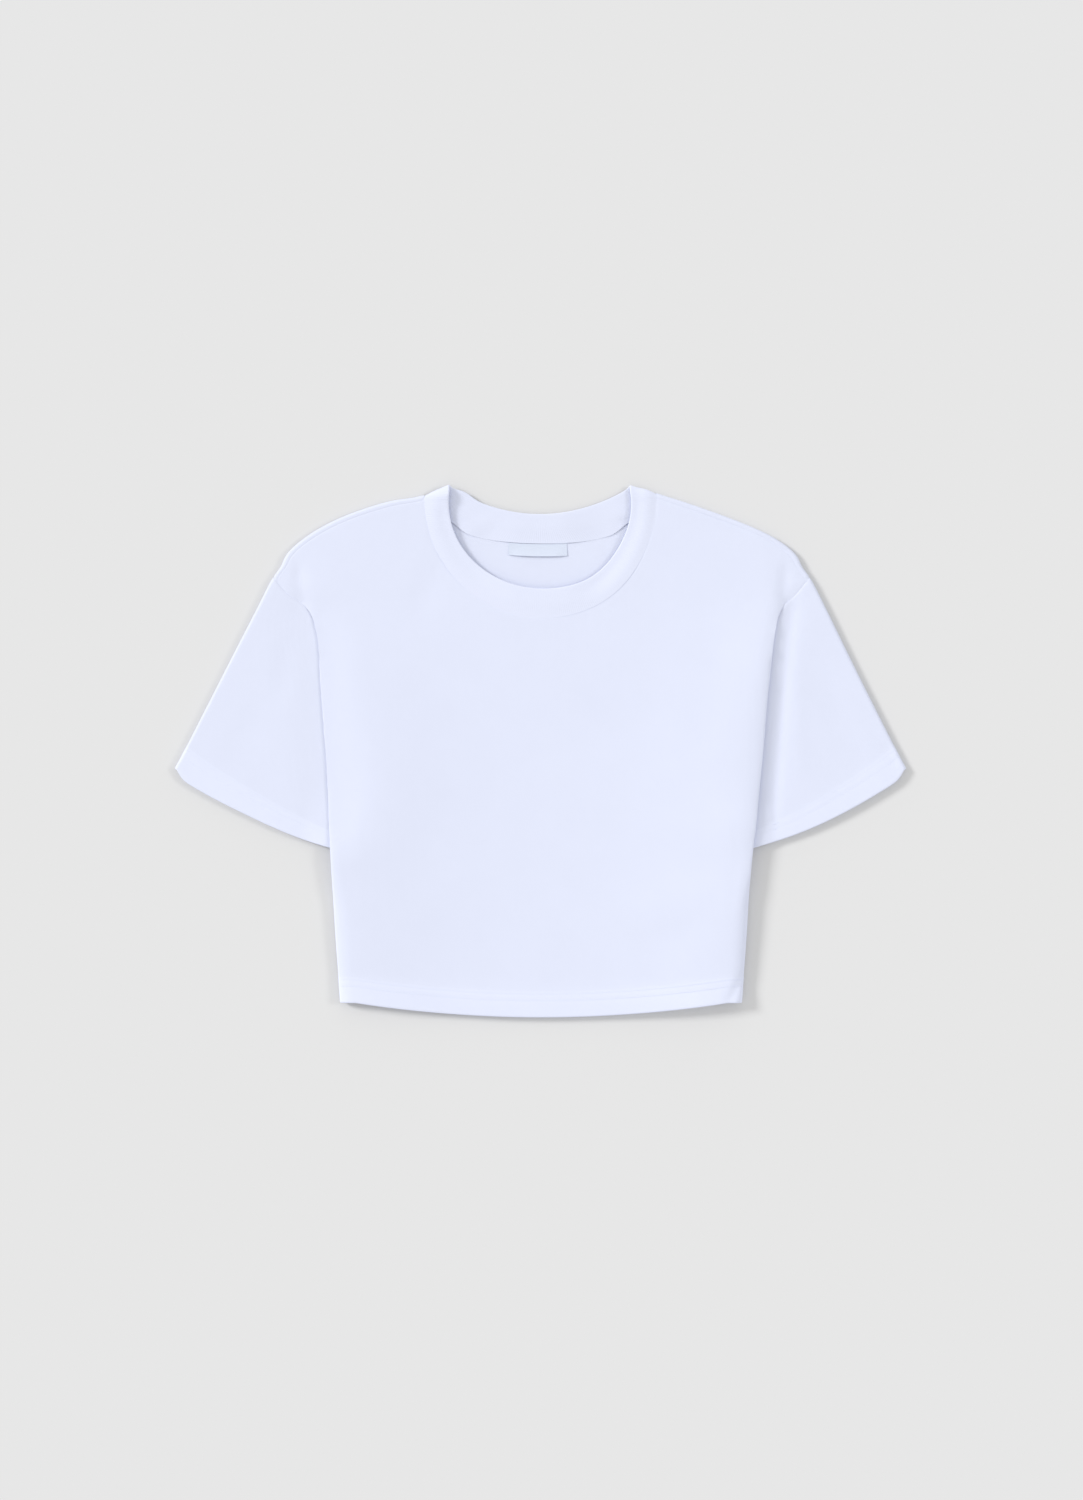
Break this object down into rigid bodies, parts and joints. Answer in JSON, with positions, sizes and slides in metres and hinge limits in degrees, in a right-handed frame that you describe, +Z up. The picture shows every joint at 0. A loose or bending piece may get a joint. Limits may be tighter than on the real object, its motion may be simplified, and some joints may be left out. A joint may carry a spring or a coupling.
{
  "type": "crop top",
  "caption": "Boxy cropped T-shirt in white cotton jersey, laid flat face up, with short sleeves drawn down and a ribbed round neck.",
  "frame": {"origin": "on the surface that the garment lies on, under the middle of its outline", "axes": "+X across the garment towards the right side of the picture, +Y towards the neck, +Z up from the surface"},
  "size_m": [0.6476, 0.4666, 0.0136],
  "materials": {
    "jersey": "matt single jersey",
    "rib": "matt fine rib",
    "label": "smooth woven satin, left bare"
  },
  "bodies": {
    "root": {"back_panel": "jersey", "front_panel": "jersey", "sleeve_right": "jersey", "sleeve_left": "jersey", "neckband": "rib", "neck_label": "label"}
  },
  "joints": []
}
